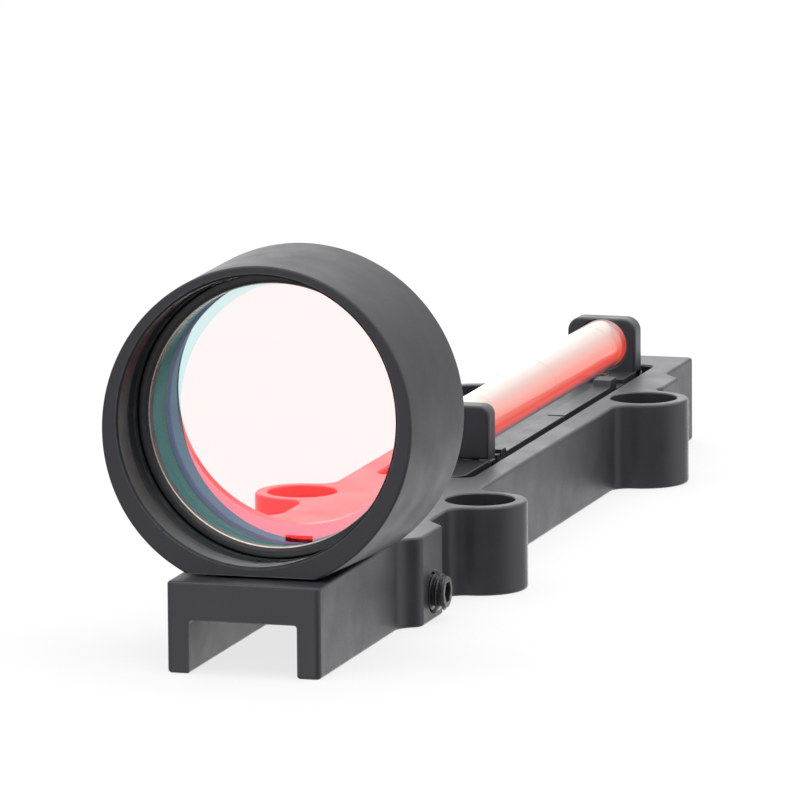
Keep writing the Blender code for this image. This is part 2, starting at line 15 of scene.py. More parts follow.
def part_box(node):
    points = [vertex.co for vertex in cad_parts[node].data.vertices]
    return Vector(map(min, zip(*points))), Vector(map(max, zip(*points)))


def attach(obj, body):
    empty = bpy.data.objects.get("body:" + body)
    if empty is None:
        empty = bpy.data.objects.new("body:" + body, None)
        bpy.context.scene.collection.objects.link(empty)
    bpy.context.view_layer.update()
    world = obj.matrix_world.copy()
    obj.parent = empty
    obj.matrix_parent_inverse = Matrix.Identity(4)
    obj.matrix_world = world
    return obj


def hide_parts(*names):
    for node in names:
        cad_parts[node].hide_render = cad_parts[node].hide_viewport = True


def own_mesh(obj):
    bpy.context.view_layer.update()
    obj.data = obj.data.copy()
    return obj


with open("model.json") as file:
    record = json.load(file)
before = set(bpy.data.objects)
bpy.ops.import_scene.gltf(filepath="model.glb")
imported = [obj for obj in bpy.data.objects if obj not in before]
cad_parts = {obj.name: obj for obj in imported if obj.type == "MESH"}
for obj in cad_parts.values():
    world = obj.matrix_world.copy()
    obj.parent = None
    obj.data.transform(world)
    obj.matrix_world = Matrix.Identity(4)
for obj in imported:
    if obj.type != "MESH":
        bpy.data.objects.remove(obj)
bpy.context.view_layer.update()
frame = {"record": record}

MM = 0.001
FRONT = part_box("base_rail")[0].y / MM
BODY_OF = {node: body for body, nodes in frame["record"]["behaviour"]["bodies"].items() for node in nodes}

# Base
LENGTH = (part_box("base_rail")[1].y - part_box("base_rail")[0].y) / MM
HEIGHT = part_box("base_rail")[1].z / MM
WALL_X = 8.4
END_ROUND = 0.6
EDGE = 0.35
CHANNEL_X = 5.9
CHANNEL_TOP = 5.7
CHANNEL_LEAD = 0.25
EAR_X = 10.15
EAR_Y = (54.0, 121.4)
EAR_RADIUS = 5.2
EAR_HOLE = 3.85
EAR_FILLET = 2.0
FILLET_X = WALL_X + EAR_FILLET
FILLET_AWAY = math.sqrt((EAR_RADIUS + EAR_FILLET) ** 2 - (FILLET_X - EAR_X) ** 2)
BOSS_X = 10.5
BOSS_Y = (35.0, 132.4)
BOSS_HALF = 3.3
BOSS_ROUND = 1.4
BOSS_EDGE = 0.9
RAMP = 2.3
RAMP_ROUND = 1.8
BEYOND_BOSS = 9
VALLEY = 1.3
CLAMP_Z = 3.1
CLAMP_HOLE = 2.15
POCKET_X = 5.5
POCKET_Y = (66.3, 143.4)
POCKET_FLOOR = 7.4
POCKET_ROUND = 1.3

# Lens housing and bore
HOUSING_FRONT = 5.1
HOUSING_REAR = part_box("lens_housing")[1].y / MM - FRONT
FRONT_RADIUS = 17.0
REAR_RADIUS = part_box("lens_housing")[1].x / MM
FRONT_CENTRE = 25.35
REAR_CENTRE = 24.95
RAKE = math.radians(7.4)
FOOT = HEIGHT + 0.3
BORE_Z = 26.2
BORE_TILT = math.radians(4.0)
BORE_RADIUS = 15.2
SEAT_DEPTH = 16.0
REAR_BORE = 13.8
REAR_BORE_Z = 26.4
FLARE_Y = 21.7
FLARE_SLOPE = 0.5
APERTURE = 13.95
COATED_RADIUS = 195.0
COATED_VERTEX = 9.0
COATED_TILT = math.radians(1.6)
RELIEF = 0.5
LOCK_DEPTH = 6.7
SCREW_Y = (8.6, 20.6)
SCREW_HEAD_HOLE = 2.9
SCREW_HEAD_TOP = 7.45
SCREW_SHANK_HOLE = 1.6
SCREW_TIPS = (10.5, 9.85)
SCREW_HOLE_TOPS = (14, 11.4)
KEY_X = 5.0
KEY_Y = (7.0, 22.0)
KEY_DEPTH = 1.2
KEY_CLEARANCE = 0.3

# Cradle, tube, hinge and adjusters
CRADLE_X = 4.12
FRONT_BRACKET = (78.4, 81.1)
REAR_BRACKET = (139.9, 142.6)
BRACKET_TOP = 15.7
TUBE_Z = 12.6
TUBE_RADIUS = 2.9
TUBE_BORE = 2.3
TUBE_Y = (80.3, 140.6)
PIVOT_Y = 70.0
HINGE = (79.8, 8.55)
PIN_HOLE = 0.68
ELEVATION_Y = 137.5
SLOT_TRAVEL = 0.65
WINDAGE = (140.9, 8.6)
WINDAGE_HOLE = 1.12

ALONG = {
    "X": Matrix(((0, 0, 1, 0), (1, 0, 0, 0), (0, 1, 0, 0), (0, 0, 0, 1))),
    "Y": Matrix(((1, 0, 0, 0), (0, 0, 1, 0), (0, 1, 0, 0), (0, 0, 0, 1))),
    "Z": Matrix.Identity(4),
}
QUARTER_TURN = [(1 - math.sin(math.pi / 8 * k), 1 - math.cos(math.pi / 8 * k)) for k in range(5)]
TO_SIGHT = Matrix.Scale(MM, 4) @ Matrix.Translation((0, FRONT, 0))
BORE = Matrix.Translation((0, HOUSING_FRONT, BORE_Z)) @ Matrix.Rotation(-BORE_TILT, 4, "X")
TO_BORE = BORE.inverted() @ TO_SIGHT.inverted()


# ---- shapes

def placed(name, data):
    """A new object in the scene."""
    made = bpy.data.objects.new(name, data)
    bpy.context.scene.collection.objects.link(made)
    return made


def object_of(bm, name):
    """An object from a bmesh in millimetres, smooth except where its faces meet at an angle."""
    bm.transform(TO_SIGHT)
    bmesh.ops.recalc_face_normals(bm, faces=bm.faces)
    mesh = bpy.data.meshes.new(name)
    bm.to_mesh(mesh)
    bm.free()
    mesh.shade_smooth()
    mesh.set_sharp_from_angle(angle=math.radians(30))
    return placed(name, mesh)


def loft(name, rings, cyclic=False):
    """A surface through rings of points. It closes on itself if cyclic, and otherwise has a flat cap at
    each end."""
    bm = bmesh.new()
    rows = [[bm.verts.new(point) for point in ring] for ring in rings]
    pairs = list(zip(rows, rows[1:]))
    if cyclic:
        pairs.append((rows[-1], rows[0]))
    for near, far in pairs:
        for i in range(len(near)):
            j = (i + 1) % len(near)
            bm.faces.new((near[i], near[j], far[j], far[i]))
    if not cyclic:
        bm.faces.new(rows[0][::-1])
        bm.faces.new(rows[-1])
    return object_of(bm, name)


def around(segments):
    """The angles of a full turn's segments."""
    return [2 * math.pi * i / segments for i in range(segments)]


def circle(axis, radius, along, segments):
    """Points round a turning axis along Y, at a distance along it."""
    return [axis @ Vector((radius * math.cos(a), along, radius * math.sin(a))) for a in around(segments)]


def turned(name, profile, axis, segments=64, closed=False):
    """A surface of revolution. axis is a matrix that maps a turning axis along Y into the sight, and the
    profile holds (radius, distance along) pairs."""
    bm = bmesh.new()
    rows = []
    for radius, along in profile:
        if radius == 0:
            rows.append([bm.verts.new(axis @ Vector((0, along, 0)))] * segments)
        else:
            rows.append([bm.verts.new(point) for point in circle(axis, radius, along, segments)])
    pairs = list(zip(rows, rows[1:]))
    if closed:
        pairs.append((rows[-1], rows[0]))
    for near, far in pairs:
        for i in range(segments):
            j = (i + 1) % segments
            corners = []
            for vert in (near[i], near[j], far[j], far[i]):
                if vert not in corners:
                    corners.append(vert)
            bm.faces.new(corners)
    return object_of(bm, name)


def rod(name, radius, start, end, axis, segments=64):
    """A plain round rod, which the boolean cuts use."""
    return turned(name, [(0, start), (radius, start), (radius, end), (0, end)], axis, segments)


def line_along(axis, x, y, z):
    """The matrix for turned() that puts the turning axis through a point, along X, Y or Z."""
    spin = {"X": Matrix.Rotation(math.radians(-90), 4, "Z"), "Y": Matrix.Identity(4),
            "Z": Matrix.Rotation(math.radians(90), 4, "X")}
    return Matrix.Translation((x, y, z)) @ spin[axis]


def upright(y):
    """The matrix for turned() that stands the turning axis up in the middle of the sight."""
    return line_along("Z", 0, y, 0)


def arc(centre, radius, start, end, steps):
    """Points on an arc between two angles in degrees, both ends included."""
    angles = [math.radians(start + (end - start) * i / steps) for i in range(steps + 1)]
    return [(centre[0] + radius * math.cos(a), centre[1] + radius * math.sin(a)) for a in angles]


def rounded(corners, steps=6):
    """The outline through corners of (x, y, radius), each corner replaced by an arc of that radius."""
    outline = []
    for i, (x, y, radius) in enumerate(corners):
        here = Vector((x, y))
        before = (Vector(corners[i - 1][:2]) - here).normalized()
        after = (Vector(corners[(i + 1) % len(corners)][:2]) - here).normalized()
        half = before.angle(after) / 2
        if radius == 0 or math.pi / 2 - half < 0.01:
            outline.append((x, y))
            continue
        centre = here + (before + after).normalized() * (radius / math.sin(half))
        first = here + before * (radius / math.tan(half)) - centre
        last = here + after * (radius / math.tan(half)) - centre
        turn = first.angle_signed(last)
        start = math.atan2(first.y, first.x)
        for k in range(steps + 1):
            angle = start - turn * k / steps
            outline.append((centre.x + radius * math.cos(angle), centre.y + radius * math.sin(angle)))
    return outline


def inset(outline, distance):
    """The outline, which runs anticlockwise, with each point moved inwards along its normal."""
    moved = []
    for i, point in enumerate(outline):
        before = Vector(point) - Vector(outline[i - 1])
        after = Vector(outline[(i + 1) % len(outline)]) - Vector(point)
        tangent = (before.normalized() + after.normalized()).normalized()
        spread = max(0.5, tangent.dot(after.normalized()))
        moved.append((point[0] - tangent.y * distance / spread, point[1] + tangent.x * distance / spread))
    return moved


def slab(name, outline, low, high, edge=0.0, axis="Z"):
    """An outline extruded from low to high, with both rims rounded by edge."""
    levels = [(0, low), (0, high)]
    if edge:
        levels = [(edge * s, low + edge * c) for s, c in QUARTER_TURN]
        levels += [(edge * c, high - edge * s) for s, c in QUARTER_TURN]
    rings = []
    for distance, level in levels:
        ring = inset(outline, distance) if distance else outline
        rings.append([ALONG[axis] @ Vector((x, y, level)) for x, y in ring])
    return loft(name, rings)


def block(name, x, y, z):
    """A box between pairs of limits, which the boolean cuts use."""
    bm = bmesh.new()
    bmesh.ops.create_cube(bm, size=1)
    bmesh.ops.scale(bm, vec=[side[1] - side[0] for side in (x, y, z)], verts=bm.verts)
    bmesh.ops.translate(bm, vec=[sum(side) / 2 for side in (x, y, z)], verts=bm.verts)
    return object_of(bm, name)


def combine(piece, others, operation="DIFFERENCE"):
    """Cuts the others from the piece, or joins them to it, and removes them."""
    for other in others:
        step = piece.modifiers.new(other.name, "BOOLEAN")
        step.object = other
        step.operation = operation
        step.solver = "EXACT"
    settle(piece)
    for other in others:
        bpy.data.objects.remove(other)
    return piece


def settle(piece):
    """Applies the piece's modifiers to its mesh."""
    bpy.context.view_layer.update()
    graph = bpy.context.evaluated_depsgraph_get()
    mesh = bpy.data.meshes.new_from_object(piece.evaluated_get(graph))
    piece.modifiers.clear()
    piece.data = mesh
    return piece


def crisp(piece, smooth=30):
    """Flat faces stay flat and rounded edges blend into them."""
    piece.data.shade_smooth()
    piece.data.set_sharp_from_angle(angle=math.radians(smooth))
    weigh = piece.modifiers.new("Weighted normals", "WEIGHTED_NORMAL")
    weigh.keep_sharp = True
    weigh.weight = 100
    return piece


def soften(piece, width, segments):
    """Rounds the piece's sharp edges."""
    bevel = piece.modifiers.new("Edges", "BEVEL")
    bevel.width = width * MM
    bevel.segments = segments
    bevel.limit_method = "ANGLE"
    bevel.angle_limit = math.radians(40)
    bevel.miter_outer = "MITER_ARC"
    return settle(piece)


def stand_for(piece, node, material):
    """The piece is seen in place of the CAD node, moves with its body and takes the given material."""
    piece.data.materials.clear()
    piece.data.materials.append(material)
    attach(piece, BODY_OF[node])
    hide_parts(node)
    return piece


# ---- materials

class Nodes:
    """Short calls for building a node tree."""

    def __init__(self, tree):
        self.tree = tree

    def node(self, kind, inputs=None, **settings):
        """A new shader node, with its inputs by name or number and its other settings."""
        made = self.tree.nodes.new("ShaderNode" + kind)
        for key, value in settings.items():
            setattr(made, key, value)
        for key, value in (inputs or {}).items():
            self.feed(made.inputs[key], value)
        return made

    def feed(self, socket, value):
        """Sets an input from a number, a vector, a colour or another node's output."""
        if isinstance(value, (int, float, Vector)):
            socket.default_value = value
        elif isinstance(value, tuple):
            socket.default_value = (*value, 1)
        else:
            self.tree.links.new(value, socket)

    def math(self, operation, first, second):
        """Arithmetic on numbers and sockets."""
        return self.node("Math", {0: first, 1: second}, operation=operation).outputs[0]

    def dot(self, first, second):
        """The dot product of two vectors."""
        return self.node("VectorMath", {0: first, 1: second}, operation="DOT_PRODUCT").outputs["Value"]

    def spread(self, source, low, high, to_low, to_high, curve="LINEAR"):
        """The source's range from low to high, mapped to another range and kept inside it."""
        inputs = {"Value": source, "From Min": low, "From Max": high, "To Min": to_low, "To Max": to_high}
        return self.node("MapRange", inputs, interpolation_type=curve).outputs["Result"]

    def mixed_shaders(self, share, first, second):
        """Two shaders mixed by a share."""
        return self.node("MixShader", {0: share, 1: first, 2: second}).outputs[0]


class Graph(Nodes):
    """A material and short calls for building its nodes."""

    def __init__(self, name):
        self.material = bpy.data.materials.new(name)
        self.material.use_nodes = True
        super().__init__(self.material.node_tree)
        self.shader = self.tree.nodes["Principled BSDF"]
        self.output = self.tree.nodes["Material Output"]
        self.place = self.node("TexCoord").outputs["Object"]

    def noise(self, scale, detail=3.0, roughness=0.5, stretch=None):
        """Noise in object space, drawn out along an axis by a small factor in stretch."""
        place = self.place
        if stretch:
            place = self.node("Mapping", {"Vector": place, "Scale": Vector(stretch)}).outputs["Vector"]
        inputs = {"Vector": place, "Scale": scale, "Detail": detail, "Roughness": roughness}
        return self.node("TexNoise", inputs).outputs["Fac"]

    def ramp(self, source, stops):
        """A colour read off stops of (position, colour)."""
        made = self.node("ValToRGB", {"Fac": source})
        elements = made.color_ramp.elements
        while len(elements) < len(stops):
            elements.new(0.5)
        for element, (position, colour) in zip(elements, stops):
            element.position = position
            element.color = (*colour, 1)
        return made.outputs["Color"]

    def mix(self, share, first, second, blend="MIX"):
        """Two colours mixed, each a tuple or a socket."""
        inputs = {0: share, 6: first, 7: second}
        return self.node("Mix", inputs, data_type="RGBA", blend_type=blend).outputs[2]

    def mottle(self, source, shade, low, high):
        """A colour that the source makes darker and brighter."""
        return self.mix(self.spread(source, 0.3, 0.7, 0, 1), scaled(shade, low), scaled(shade, high))

    def bump(self, height, distance, strength):
        """A normal roughened by height, over a distance in metres."""
        inputs = {"Height": height, "Distance": distance, "Strength": strength}
        return self.node("Bump", inputs).outputs["Normal"]

    def wear(self, radius):
        """About 1 along convex edges and 0 elsewhere."""
        bevel = self.node("Bevel", {"Radius": radius}, samples=6)
        geometry = self.node("NewGeometry")
        turn = self.dot(bevel.outputs["Normal"], geometry.outputs["Normal"])
        return self.spread(turn, 0.995, 0.93, 0, 1)

    def set(self, **values):
        """Sets the Principled shader's sockets and returns the finished material."""
        for key, value in values.items():
            self.feed(self.shader.inputs[key.replace("_", " ")], value)
        return self.material

    def show(self, shader):
        """Puts a shader in the Principled shader's place and returns the finished material."""
        self.feed(self.output.inputs["Surface"], shader)
        return self.material


def scaled(colour, factor):
    """A colour made brighter or darker, up to white."""
    return tuple(min(1, channel * factor) for channel in colour)


def anodised(name, shade, roughness, specular, blast=1.0, glow=(0, 0, 0)):
    """Bead-blasted anodised aluminium: fine grain, faint cloudiness and paler edges. A glow stands for light
    that only reaches the surface through the lens."""
    g = Graph(name)
    grain = 9000
    cloud = g.noise(260, 4)
    speck = g.noise(grain, 2, 0.6)
    tone = g.mix(g.spread(cloud, 0.35, 0.7, 0, 1), scaled(shade, 0.86), scaled(shade, 1.12))
    tone = g.mix(g.spread(speck, 0.3, 0.75, 0, 0.45), tone, scaled(shade, 1.9))
    rubbed = g.math("MULTIPLY", g.wear(0.00022), g.spread(g.noise(900, 3), 0.35, 0.65, 0.25, 0.8))
    tone = g.mix(rubbed, tone, (0.13, 0.13, 0.14))
    matt = g.math("ADD", g.spread(cloud, 0.3, 0.7, roughness - 0.04, roughness + 0.05),
                  g.spread(speck, 0.3, 0.7, -0.05, 0.06))
    blasted = g.bump(g.noise(grain, 3, 0.65), 0.000012, 0.5 * blast)
    return g.set(Base_Color=tone, Roughness=matt, Normal=blasted, Specular_IOR_Level=specular,
                 Emission_Color=glow, Emission_Strength=1.0 if any(glow) else 0.0)


def turned_metal(name, shade, roughness, specular):
    """Black metal with the fine concentric marks that a lathe leaves."""
    g = Graph(name)
    fine = g.noise(14000, 2, 0.6, (0.05, 1, 0.05))
    speck = g.noise(9000, 2)
    tone = g.mottle(fine, shade, 0.8, 1.25)
    matt = g.spread(speck, 0.3, 0.7, roughness - 0.06, roughness + 0.06)
    marks = g.bump(fine, 0.00001, 0.4)
    return g.set(Base_Color=tone, Roughness=matt, Normal=marks, Specular_IOR_Level=specular)


def steel(name, shade, roughness, metallic, scratch):
    """Screw steel: oxide or bright, with rubbed edges and fine scratches."""
    g = Graph(name)
    marks = g.noise(scratch, 3, 0.7, (1, 0.15, 1))
    tone = g.mottle(marks, shade, 0.75, 1.3)
    tone = g.mix(g.math("MULTIPLY", g.wear(0.00012), 0.5), tone, tuple(min(1, c * 3 + 0.08) for c in shade))
    matt = g.spread(g.noise(3000, 3), 0.3, 0.7, roughness - 0.07, roughness + 0.1)
    return g.set(Base_Color=tone, Roughness=matt, Metallic=metallic, Normal=g.bump(marks, 0.000006, 0.5))


def plain_polymer(name, shade, roughness, grain):
    """Nylon or rubber: a slight mottle and a fine moulded grain."""
    g = Graph(name)
    tone = g.mottle(g.noise(700, 4), shade, 0.85, 1.12)
    matt = g.spread(g.noise(2400, 3), 0.3, 0.7, roughness - 0.07, roughness + 0.07)
    return g.set(Base_Color=tone, Roughness=matt, Normal=g.bump(g.noise(grain, 3), 0.00001, 0.5))


def coating(name, passed, mirrored):
    """The lens's red-reflecting coating: some light passes, tinted cyan, and red is mirrored."""
    g = Graph(name)
    clear = g.node("BsdfTransparent", {"Color": passed})
    mirror = g.node("BsdfGlossy", {"Color": mirrored, "Roughness": 0.0})
    return g.show(g.node("AddShader", {0: clear.outputs[0], 1: mirror.outputs[0]}).outputs[0])


def clear_glass(name):
    """An uncoated lens surface: clear, with a faint sheen at a glancing angle."""
    g = Graph(name)
    clear = g.node("BsdfTransparent")
    sheen = g.node("BsdfGlossy", {"Roughness": 0.02})
    share = g.node("Fresnel", {"IOR": 1.08})
    return g.show(g.mixed_shaders(share.outputs[0], clear.outputs[0], sheen.outputs[0]))


def ground_glass(name, dark, pale):
    """The lens's ground rim in a frosty mottle between two colours, which are painted reflection: the tints
    that the coatings lend the rim.
    """
    g = Graph(name)
    frost = g.noise(5000, 3)
    tone = g.mix(g.spread(frost, 0.3, 0.7, 0, 1), dark, pale)
    return g.set(Base_Color=tone, Roughness=0.35, Normal=g.bump(frost, 0.00002, 0.5))


# The light tube's painted light and shade by height, from its underside to its top: painted shade
# underneath, the red core below painted as a band, and a painted reflection of the sky on top
TUBE_PAINTED_LIGHT_AND_SHADE = [
    (0.0, (0.02, 0.012, 0.012)),
    (0.12, (0.05, 0.03, 0.035)),
    (0.21, (0.20, 0.07, 0.08)),
    (0.27, (0.60, 0.09, 0.08)),
    (0.34, (0.95, 0.10, 0.08)),
    (0.45, (0.97, 0.14, 0.10)),
    (0.60, (0.96, 0.27, 0.21)),
    (0.73, (0.94, 0.43, 0.36)),
    (0.93, (0.76, 0.62, 0.59)),
    (0.985, (0.62, 0.54, 0.44)),
]


def tube_material(name):
    """The light tube. Its clear wall is painted by height: the red core below as a band, a painted
    reflection of the sky on top and painted shade underneath, with a deeper red glow painted low down near
    the rear end. Most of the colour is emission, a painted glow that does not depend on the studio's light.
    """
    g = Graph(name)
    axis = g.node("SeparateXYZ", {0: g.place})
    height = g.math("DIVIDE", g.math("SUBTRACT", axis.outputs["Z"], TUBE_Z * MM), TUBE_RADIUS * MM)
    haze = g.noise(260, 3, 0.5, (1, 0.12, 1))
    share = g.spread(g.math("ADD", height, g.spread(haze, 0.3, 0.7, -0.04, 0.04)), -1, 1, 0, 1)
    # painted light and shade round the tube, read off its height
    side = g.ramp(share, TUBE_PAINTED_LIGHT_AND_SHADE)
    end = (FRONT + TUBE_Y[1]) * MM
    # painted glow: deeper red towards the rear end, low down on the tube
    end_glow_mask = g.spread(axis.outputs["Y"], end - 2.4 * MM, end - 1.7 * MM, 0, 0.9)
    low_down = g.spread(height, 0.2, 0.95, 1, 0.15)
    tone = g.mix(g.math("MULTIPLY", end_glow_mask, low_down), side, (0.62, 0.06, 0.045))
    # the painted light and shade glows as emission, with only a dim copy as base colour
    glow = g.mix(1.0, tone, (0.86, 0.82, 0.82), "MULTIPLY")
    body = g.mix(1.0, tone, (0.06, 0.06, 0.06), "MULTIPLY")
    fine = g.bump(g.noise(2600, 3, 0.6, (1, 0.04, 1)), 0.000004, 0.5)
    return g.set(Base_Color=body, Roughness=0.18, Specular_IOR_Level=0.25, Coat_Weight=0.1, Normal=fine,
                 Coat_Roughness=0.05, Emission_Color=glow, Emission_Strength=1.0)


def fluorescent(name):
    """The light tube's core: streaky red plastic that glows."""
    g = Graph(name)
    streak = g.noise(2000, 3, 0.5, (1, 0.03, 1))
    tone = g.mix(g.spread(streak, 0.3, 0.7, 0, 1), (0.8, 0.03, 0.02), (1.0, 0.12, 0.07))
    return g.set(Base_Color=tone, Roughness=0.3, Emission_Color=(0.9, 0.05, 0.02), Emission_Strength=0.3)


def floor_material():
    """A white sweep, lit from below as well so that its shadows stay faint."""
    g = Graph("pale_floor")
    tone = g.mix(g.noise(60, 4), (0.14, 0.14, 0.14), (0.16, 0.16, 0.16))
    return g.set(Base_Color=tone, Roughness=0.8,
                 Specular_IOR_Level=0.0, Emission_Color=(1.0, 1.0, 1.0), Emission_Strength=0.77)


# ---- base

def between(first, first_reach, second, second_reach):
    """The point at the given distances from two centres, on the outer side of the line through them."""
    line = Vector(second) - Vector(first)
    along = (first_reach**2 - second_reach**2 + line.length_squared) / (2 * line.length)
    outwards = Vector((line.y, -line.x)).normalized() * math.sqrt(first_reach**2 - along**2)
    return Vector(first) + line.normalized() * along + outwards


def bearing(start, end):
    """The direction from one point to another, in degrees."""
    return math.degrees(math.atan2(end[1] - start[1], end[0] - start[0]))


def ear_arcs(y, next_centre, next_radius, next_end):
    """An ear from the fillet in front of it, round its tip, to the fillet about next_centre behind it."""
    ear = (EAR_X, y)
    ahead = (FILLET_X, y - FILLET_AWAY)
    front = arc(ahead, EAR_FILLET, 180, bearing(ahead, ear), 8)
    tip = arc(ear, EAR_RADIUS, bearing(ear, ahead), bearing(ear, next_centre), 48)
    rear = arc(next_centre, next_radius, bearing(next_centre, ear) % 360, next_end, 8)
    return front + tip[1:-1] + rear


def front_side():
    """The right wall in plan, past the front boss and the front ear."""
    low, high = BOSS_Y[0] - BOSS_HALF, BOSS_Y[0] + BOSS_HALF
    boss = [(WALL_X, low - BEYOND_BOSS, 0), (WALL_X, low - 2.5, 2.5), (BOSS_X, low - 1.3, BOSS_ROUND),
            (BOSS_X, high, BOSS_EDGE), (WALL_X, high + RAMP, RAMP_ROUND), (WALL_X, high + BEYOND_BOSS, 0)]
    return rounded(boss)[1:-1] + ear_arcs(EAR_Y[0], (FILLET_X, EAR_Y[0] + FILLET_AWAY), EAR_FILLET, 180)


def rear_side():
    """The right wall in plan, past the rear ear and the rear boss."""
    low, high = BOSS_Y[1] - BOSS_HALF, BOSS_Y[1] + BOSS_HALF
    corner = (BOSS_X - BOSS_ROUND, low)
    valley = between((EAR_X, EAR_Y[1]), EAR_RADIUS + VALLEY, corner, BOSS_ROUND + VALLEY)
    ear = ear_arcs(EAR_Y[1], valley, VALLEY, bearing(valley, corner) % 360)
    turn = arc(corner, BOSS_ROUND, bearing(corner, valley), 0, 6)
    boss = [(BOSS_X, low, 0), (BOSS_X, high, BOSS_EDGE), (WALL_X, high + RAMP, RAMP_ROUND),
            (WALL_X, high + BEYOND_BOSS, 0)]
    return ear + turn[1:-1] + rounded(boss)[:-1]


def plan_outline():
    """The whole base in plan, anticlockwise from its front right corner."""
    front = arc((WALL_X - END_ROUND, END_ROUND), END_ROUND, -90, 0, 5)
    rear = arc((WALL_X - END_ROUND, LENGTH - END_ROUND), END_ROUND, 0, 90, 5)
    right = front + front_side() + rear_side() + rear
    return right + [(-x, y) for x, y in reversed(right)]


def drilled(name, x, y, low, high, radius, rim, segments=64):
    """A vertical hole's cutter, with a chamfer of rim where it leaves the material at low and at high."""
    profile = [(0, high + 1), (radius + rim + 1, high + 1), (radius, high - rim), (radius, low + rim),
               (radius + rim + 1, low - 1), (0, low - 1)]
    return turned(name, profile, line_along("Z", x, y, 0), segments)


def crosswise(name, y, z, inner, outer, radius, rim, segments=40):
    """A hole's cutter along X, from inner to outer, with a chamfer where it leaves the face at outer."""
    side = math.copysign(1, outer)
    profile = [(0, inner), (radius, inner), (radius, outer - side * rim), (radius + rim + 1, outer + side),
               (0, outer + side)]
    return turned(name, profile, line_along("X", 0, y, z), segments)


def stadium(y, half_travel, radius):
    """The outline of a slot that runs across the sight."""
    return arc((half_travel, y), radius, -90, 90, 16) + arc((-half_travel, y), radius, 90, 270, 16)


def channel_cutter():
    """The channel's cutter, with a small lead-in at its mouth."""
    leg = CHANNEL_X + CHANNEL_LEAD
    corner = 0.35
    outline = [(-leg - 1, -1, 0), (leg + 1, -1, 0), (leg, 0, 0), (CHANNEL_X, CHANNEL_LEAD, 0),
               (CHANNEL_X, CHANNEL_TOP, corner), (-CHANNEL_X, CHANNEL_TOP, corner),
               (-CHANNEL_X, CHANNEL_LEAD, 0), (-leg, 0, 0)]
    return slab("channel", rounded(outline), -1, LENGTH + 1, axis="Y")


def pocket_cutter():
    """The cutter of the cradle's pocket, with a chamfer at its mouth."""
    front, rear = POCKET_Y
    corners = ((-POCKET_X, front), (POCKET_X, front), (POCKET_X, rear), (-POCKET_X, rear))
    outline = rounded([(x, y, POCKET_ROUND) for x, y in corners], 10)
    rim = 0.2
    levels = [(0, POCKET_FLOOR), (0, HEIGHT - rim), (-rim, HEIGHT), (-rim, HEIGHT + 1)]
    return loft("pocket", [[Vector((*p, z)) for p in inset(outline, d)] for d, z in levels])


def key_recess_cutter():
    """The recess in the base's top that the lens housing's key sits in."""
    half = KEY_X + KEY_CLEARANCE
    along = (KEY_Y[0] - KEY_CLEARANCE, KEY_Y[1] + KEY_CLEARANCE)
    return block("key_recess", (-half, half), along, (HEIGHT - KEY_DEPTH, HEIGHT + 1))


def adjuster_cutters():
    """The holes for the pivot, the elevation screw, the windage screw and the windage spring."""
    return [
        drilled("pivot_hole", 0, PIVOT_Y, 3, POCKET_FLOOR + 2, 1.05, 0.0, 24),
        slab("elevation_head", stadium(ELEVATION_Y, SLOT_TRAVEL, 2.05), 5, 6.85),
        slab("elevation_shank", stadium(ELEVATION_Y, SLOT_TRAVEL, 1.2), 6, 8),
        crosswise("windage_hole", *WINDAGE, 0, -WALL_X, WINDAGE_HOLE, 0.2),
        rod("spring_hole", WINDAGE_HOLE, 0, 7.4, line_along("X", 0, *WINDAGE), 32),
    ]


def base_rail(material):
    """The rail that straddles the rib, with its ears, bosses, pocket and holes."""
    base = slab("base_rail_body", plan_outline(), 0, HEIGHT, EDGE)
    cutters = [channel_cutter(), pocket_cutter(), key_recess_cutter(), *adjuster_cutters()]
    for y in SCREW_Y:
        cutters.append(rod(f"head_{y}", SCREW_HEAD_HOLE, 4, SCREW_HEAD_TOP, upright(y)))
        cutters.append(rod(f"shank_{y}", SCREW_SHANK_HOLE, 5, 11, upright(y)))
    for y in EAR_Y:
        for x in (-EAR_X, EAR_X):
            cutters.append(drilled(f"ear_{y}_{x}", x, y, 0, HEIGHT, EAR_HOLE, 0.12, 96))
    for y in BOSS_Y:
        for side in (1, -1):
            name = f"clamp_{y}_{side}"
            cutters.append(crosswise(name, y, CLAMP_Z, side * 3, side * BOSS_X, CLAMP_HOLE, 0.25))
    return stand_for(crisp(combine(base, cutters)), "base_rail", material)


# ---- lens housing

def face_depth(point):
    """How far a point is behind the raked front face."""
    return (point[1] - HOUSING_FRONT) * math.cos(RAKE) - (point[2] - FRONT_CENTRE) * math.sin(RAKE)


def outer_ring(share, inwards, segments, behind=0.0):
    """A ring on the tapered outside, from the raked face at share 0 to the upright rear face at share 1."""
    ring = []
    for angle in around(segments):
        y = HOUSING_FRONT
        for _ in range(6):
            back = (y - HOUSING_FRONT) / (HOUSING_REAR - HOUSING_FRONT)
            radius = FRONT_RADIUS + (REAR_RADIUS - FRONT_RADIUS) * back - inwards
            z = FRONT_CENTRE + (REAR_CENTRE - FRONT_CENTRE) * back + radius * math.sin(angle)
            face = HOUSING_FRONT + math.tan(RAKE) * (z - FRONT_CENTRE) + behind / math.cos(RAKE)
            y = face * (1 - share) + (HOUSING_REAR + behind) * share
        ring.append(Vector((radius * math.cos(angle), y, z)))
    return ring


def mouth_ring(radius, behind, segments):
    """A ring of the bore's radius, cut off at a distance behind the raked face."""
    ring = []
    for near, far in zip(circle(BORE, radius, 0, segments), circle(BORE, radius, 1, segments)):
        share = (behind - face_depth(near)) / (face_depth(far) - face_depth(near))
        ring.append(near.lerp(far, share))
    return ring


